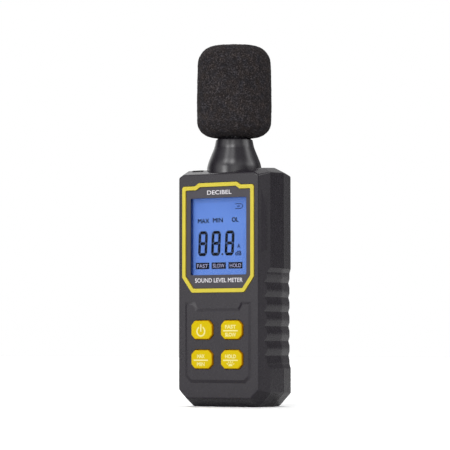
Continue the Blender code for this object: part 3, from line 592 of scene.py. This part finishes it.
def build_windscreen():
    """Open-cell foam: a turned sleeve whose outside is pitted by real displacement."""
    low, high = corners("foam_windscreen")
    profile = resample(foam_profile(low, high), FOAM_STEP)
    shape = bmesh.new()
    rings = []
    for radius, height in profile:
        if radius < 0.01:
            rings.append([shape.verts.new(Vector((0, 0, height)) * MM)])
            continue
        turns = (2 * math.pi * index / FOAM_RING for index in range(FOAM_RING))
        spots = [Vector((radius * math.cos(turn), radius * math.sin(turn), height)) for turn in turns]
        rings.append([shape.verts.new(spot * MM) for spot in spots])
    for upper, lower in zip(rings, rings[1:]):
        for index in range(FOAM_RING):
            after = (index + 1) % FOAM_RING
            here = [ring[index % len(ring)] for ring in (upper, lower)]
            there = [ring[after % len(ring)] for ring in (lower, upper)]
            shape.faces.new(list(dict.fromkeys(here + there)))
    bmesh.ops.recalc_face_normals(shape, faces=shape.faces)
    near_bore = corners("microphone_tube")[1].x + 1
    shape.normal_update()
    for vert in shape.verts:
        spot = vert.co / MM
        if spot.xy.length < near_bore and spot.z < high.z - 5:
            continue
        soft = noise.fractal(spot * 0.16, 0.8, 2.0, 3) * 0.12
        fine = noise.fractal(spot * 1.25, 0.6, 2.2, 3) * 0.16
        sink = soft + fine - 0.14
        vert.co += vert.normal * min(sink, 0.0) * MM
    mesh = mesh_of("foam windscreen", shape)
    mesh.shade_smooth()
    foam = add_piece("foam_sleeve", mesh, FOAM, "windscreen")
    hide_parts("foam_windscreen")


# ------------------------------------------------------------------- keys


def key_outline(low, high, corner=2.3):
    """A rectangle with cut corners."""
    return [
        (low.x + corner, low.z),
        (high.x - corner, low.z),
        (high.x, low.z + corner),
        (high.x, high.z - corner),
        (high.x - corner, high.z),
        (low.x + corner, high.z),
        (low.x, high.z - corner),
        (low.x, low.z + corner),
    ]


def ring_outlines(x, z, radius, width, start, end, steps=28):
    """An open ring as a row of quadrilaterals."""
    pieces = []
    for step in range(steps):
        turns = (start + (end - start) * (step + more) / steps for more in (0, 1))
        inner, outer = [], []
        for turn in turns:
            spoke = Vector((math.cos(turn), math.sin(turn)))
            inner.append(Vector((x, z)) + spoke * (radius - width))
            outer.append(Vector((x, z)) + spoke * radius)
        pieces.append([inner[0], outer[0], outer[1], inner[1]])
    return pieces


def ray(x, z, angle, near, far, width):
    """A short bar that points away from (x, z)."""
    along = Vector((math.cos(angle), math.sin(angle)))
    across = Vector((-along.y, along.x)) * width / 2
    start, end = Vector((x, z)) + along * near, Vector((x, z)) + along * far
    return [start - across, end - across, end + across, start + across]


def power_sign(x, z):
    """A ring that is open at its top, with a bar in the opening."""
    gap = math.radians(28)
    top = math.pi / 2
    ring = ring_outlines(x, z - 0.3, 2.85, 0.8, top + gap, top + 2 * math.pi - gap)
    return ring + [block(x, z + 1.5, 0.8, 3.9)]


def lamp_sign(x, z):
    """Half a disc with five rays above it."""
    turns = [math.pi * step / 12 for step in range(13)]
    half_disc = [(x + 1.25 * math.cos(turn), z + 1.25 * math.sin(turn)) for turn in turns]
    return [half_disc] + [ray(x, z, math.pi * step / 6, 1.65, 2.75, 0.42) for step in range(1, 6)]


def build_keys():
    """Each key: a rounded cap, the flange behind it, and its printed legend."""
    legends = {
        "power_button": None,
        "fast_slow_button": ("FAST", "SLOW"),
        "max_min_button": ("MAX", "MIN"),
        "hold_light_button": ("HOLD", None),
    }
    wide, high = KEY_FACE
    for name, words in legends.items():
        body = name.replace("_button", "_key")
        low, top = corners(name)
        middle = (low + top) / 2
        step = top.y - KEY_SKIRT
        face_low = Vector((middle.x - wide, 0, middle.z - high))
        face_high = Vector((middle.x + wide, 0, middle.z + high))
        outline = rounded(key_outline(face_low, face_high), 1.2)
        cap = add_piece(f"{name}_cap", slabs(name, [outline], low.y, step), KEY, body)
        round_edges(cap, 0.75, segments=5, angle=50)
        shade(cap)
        rim = [(low.x, low.z), (top.x, low.z), (top.x, top.z), (low.x, top.z)]
        flange = add_piece(f"{name}_skirt", slabs(name, [rim], step, top.y), KEY, body)
        round_edges(flange, 0.2)
        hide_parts(name)
        x, z, front = middle.x + LEGEND_SHIFT[0], middle.z + LEGEND_SHIFT[1], low.y - SLIVER
        if words is None:
            outlines = power_sign(x, z)
        else:
            outlines = [block(x, z, 9.1, 0.68)]
            for word, offset in zip(words, (2.1, -2.05)):
                if word is None:
                    outlines += lamp_sign(x, z - 3.05)
                    continue
                width = {3: 4.86, 4: 6.88}[len(word)]
                mesh = letters(name, word, x, z + offset, width, 2.1, front, bold=0.13)
                add_piece(f"{name}_{word.lower()}", mesh, LEGEND, body)
        add_piece(f"{name}_mark", slabs(name, outlines, front, low.y), LEGEND, body)


# ---------------------------------------------------------------- display


def digit_segments(x, z, width=5.8, height=13.35, stroke=1.68, gap=0.09, slant=0.045):
    """The seven segments of a slanted figure centred on (x, z)."""
    w, h, s, g = width / 2, height / 2, stroke, gap
    cut = s * 0.75
    upper_left = [(-w, g + 0.1), (-w + s * 0.5, g * 0.5), (-w + s, s / 2 + g)]
    upper_left += [(-w + s, h - s - g), (-w, h - cut)]
    top = [(-w + g + 0.1, h - cut + g), (-w + s + g, h - s), (w - s - g, h - s)]
    top += [(w - g - 0.1, h - cut + g), (w - cut, h), (-w + cut, h)]
    centre = [(-w + s * 0.6 + g, 0), (-w + s + g, -s / 2), (w - s - g, -s / 2)]
    centre += [(w - s * 0.6 - g, 0), (w - s - g, s / 2), (-w + s + g, s / 2)]
    shapes = [top, centre, [(a, -b) for a, b in top[::-1]]]
    for flip_x in (1, -1):
        for flip_z in (1, -1):
            shapes.append([(a * flip_x, b * flip_z) for a, b in upper_left])
    return [[(x + a + slant * b, z + b) for a, b in shape] for shape in shapes]


def battery_sign(x, z):
    """A battery lying on its side: two long walls that taper to its tip, and a bar inside."""
    outlines = [block(x - 0.4, z + 1.25, 3.6, 0.42), block(x - 0.4, z - 1.25, 3.6, 0.42)]
    outlines += [block(x, z, 1.9, 0.5), block(x + 2.6, z, 0.44, 1.1)]
    shoulder = [(1.4, 1.41), (1.4, 1.09), (2.43, 0.35), (2.77, 0.55)]
    for way in (1, -1):
        outlines.append([(x + across, z + way * up) for across, up in shoulder])
    return outlines


def build_display():
    """Everything that the LCD shows, and the prints on the bezel."""
    low = corners("lcd_panel")[0]
    front = low.y - SLIVER

    def show(name, outlines, material):
        add_piece(f"lcd_{name}", slabs(f"lcd {name}", outlines, front, low.y), material, "meter")

    def write(name, words, place, size, depth, bold, material):
        mesh = letters(name, words, *place, *size, depth, bold=bold)
        add_piece(name, mesh, material, "meter")

    figures = [outline for x in (-11.6, -3.25, 5.3) for outline in digit_segments(x, 87.5)]
    point = block(0.75, 81.6, 1.05, 1.05)
    show("figures", figures + [point], LCD_INK)
    write("lcd_max", "MAX", (-11.2, 99.7), (7.4, 2.55), front, 0.15, LCD_INK)
    write("lcd_min", "MIN", (-2.1, 99.9), (6.5, 2.55), front, 0.15, LCD_INK)
    write("lcd_ol", "OL", (8.8, 100.0), (4.3, 2.6), front, 0.15, LCD_INK)
    write("lcd_a", "A", (11.1, 85.8), (2.1, 2.4), front, 0.12, LCD_PALE_INK)
    write("lcd_db", "dB", (10.8, 82.0), (4.0, 2.5), front, 0.12, LCD_PALE_INK)
    boxes = []
    for words, x, width in (("FAST", -11.85, 8.6), ("SLOW", -1.55, 9.0), ("HOLD", 9.0, 8.8)):
        boxes.append(block(x, 75.5, width, 3.5))
        name, size = f"lcd_box_{words.lower()}", (width - 1.7, 2.05)
        write(name, words, (x, 75.5), size, front - SLIVER, 0.03, LCD_WORD)
    show("boxes", boxes, LCD_INK)
    show("battery", battery_sign(11.0, 107.1), LCD_PALE_INK)

    printed = corners("display_bezel")[0].y - SLIVER
    title, base = (0.7, 114.7), (0.3, 67.6)
    write("print_decibel", "DECIBEL", title, (15.5, 2.3), printed, 0.05, LETTER)
    words = "SOUND LEVEL METER"
    write("print_sound_level_meter", words, base, (30.0, 2.35), printed, 0.05, LETTER)


# ------------------------------------------------------ the CAD's own pieces


def dress_the_rest():
    """Materials and fine edges for the CAD's own pieces."""
    dress(["front_case", "rear_case", "battery_door"], CASE, 0.14)
    dress(["nose_cone"], NOSE)
    dress(["display_bezel"], BEZEL)
    dress(["display_trim"], TRIM)
    dress(["display_lens"], WINDOW)
    dress(["lcd_panel"], LCD)
    dress(["lcd_backlight"], DIFFUSER, 0.1)
    dress(["lcd_frame"], LCD_FRAME, 0.1)
    dress(["calibration_plug", "microphone_gasket", "elastomer_strip"], BLACK_RUBBER)
    dress(["key_mat"], MAT_SILICONE, 0.15)
    dress(["main_board"], BOARD)
    dress(["processor_chip", "amplifier_chip"], CHIP, 0.1)
    dress(["calibration_trimmer"], TRIMMER, 0.1)
    dress(["microphone_tube"], TURNED_STEEL)
    dress(["microphone_capsule", "microphone_grid", "smoothing_capacitor"], TURNED_STEEL)
    dress(["microphone_signal_lead"], WIRE_RED)
    dress(["microphone_ground_lead"], WIRE_BLACK)
    dress(["tripod_insert"], BRASS)
    for name in ("case_screw", "board_screw", "contact_plate", "contact_spring"):
        dress([node for node in nodes if node.startswith(name)], STEEL)
    for name, nub_up in (("battery_1", True), ("battery_2", False), ("battery_3", True)):
        dress([name], cell_wrap(nub_up))


def build_seam_lips():
    """The lips behind the parting line, which stop light from crossing the case from side to side."""
    high = corners("rear_case")[1]
    inner = high.x - CASE_WALL
    bottom, top = 12, high.z - 14
    for name, side in (("left", -1), ("right", 1)):
        near, far = (side * (inner - gap) for gap in LIP_INSIDE)
        outline = [(near, bottom), (far, bottom), (far, top), (near, top)]
        mesh = slabs(name, [outline], SEAM_Y - LIP_REACH, SEAM_Y + LIP_REACH)
        round_edges(add_piece(f"seam_lip_{name}", mesh, CASE, "meter"), 0.15)


# ------------------------------------------------------------------ stage


def build_world():
    """White behind the meter; for the light it gives, soft panels all round the meter."""
    world = bpy.data.worlds.new("studio")
    bpy.context.scene.world = world
    world.use_nodes = True
    tree = world.node_tree
    way = add(tree, "ShaderNodeTexCoord").outputs["Generated"]
    total = None
    for bearing, height, sharpness, strength in PANELS:
        bearing, height = math.radians(bearing), math.radians(height)
        level = math.cos(height)
        direction = (math.sin(bearing) * level, -math.cos(bearing) * level, math.sin(height))
        inputs = {0: way, 1: direction}
        dot = add(tree, "ShaderNodeVectorMath", inputs, operation="DOT_PRODUCT").outputs["Value"]
        fall = maths(tree, "MULTIPLY", maths(tree, "SUBTRACT", dot, 1.0), sharpness)
        panel = maths(tree, "MULTIPLY", maths(tree, "EXPONENT", fall), strength)
        total = maths(tree, "ADD", total, panel) if total else panel
    lighting = tree.nodes["Background"]
    lighting.inputs["Color"].default_value = (1, 1, 1, 1)
    tree.links.new(total, lighting.inputs["Strength"])
    seen = add(tree, "ShaderNodeBackground", {"Color": (1, 1, 1, 1), "Strength": 1.0})
    camera_ray = add(tree, "ShaderNodeLightPath").outputs["Is Camera Ray"]
    choice = add(tree, "ShaderNodeMixShader", {"Fac": camera_ray})
    tree.links.new(lighting.outputs["Background"], choice.inputs[1])
    tree.links.new(seen.outputs["Background"], choice.inputs[2])
    tree.links.new(choice.outputs["Shader"], tree.nodes["World Output"].inputs["Surface"])


def build_stage():
    """The floor and the light."""
    bpy.ops.mesh.primitive_plane_add(size=FLOOR_SIZE)
    floor = bpy.context.active_object
    floor.name = "floor"
    floor.data.materials.append(pale_floor())
    build_world()


def build_camera():
    """The camera, from the side that the photograph shows."""
    lens = bpy.data.cameras.new("camera")
    lens.sensor_width = 36
    lens.lens = CAMERA_LENS
    lens.clip_start = 0.05
    camera = bpy.data.objects.new("camera", lens)
    right, ahead = math.sin(CAMERA_BEARING), -math.cos(CAMERA_BEARING)
    place = (right * CAMERA_DISTANCE, ahead * CAMERA_DISTANCE, CAMERA_HEIGHT)
    camera.location = Vector(place) * MM
    camera.rotation_euler = (math.pi / 2 + CAMERA_PITCH, 0, CAMERA_BEARING + CAMERA_TURN)
    bpy.context.scene.collection.objects.link(camera)
    bpy.context.scene.camera = camera


bpy.context.scene.view_settings.view_transform = "Standard"
build_camera()
build_stage()
dress_the_rest()
build_windscreen()
build_keys()
build_display()
build_seam_lips()
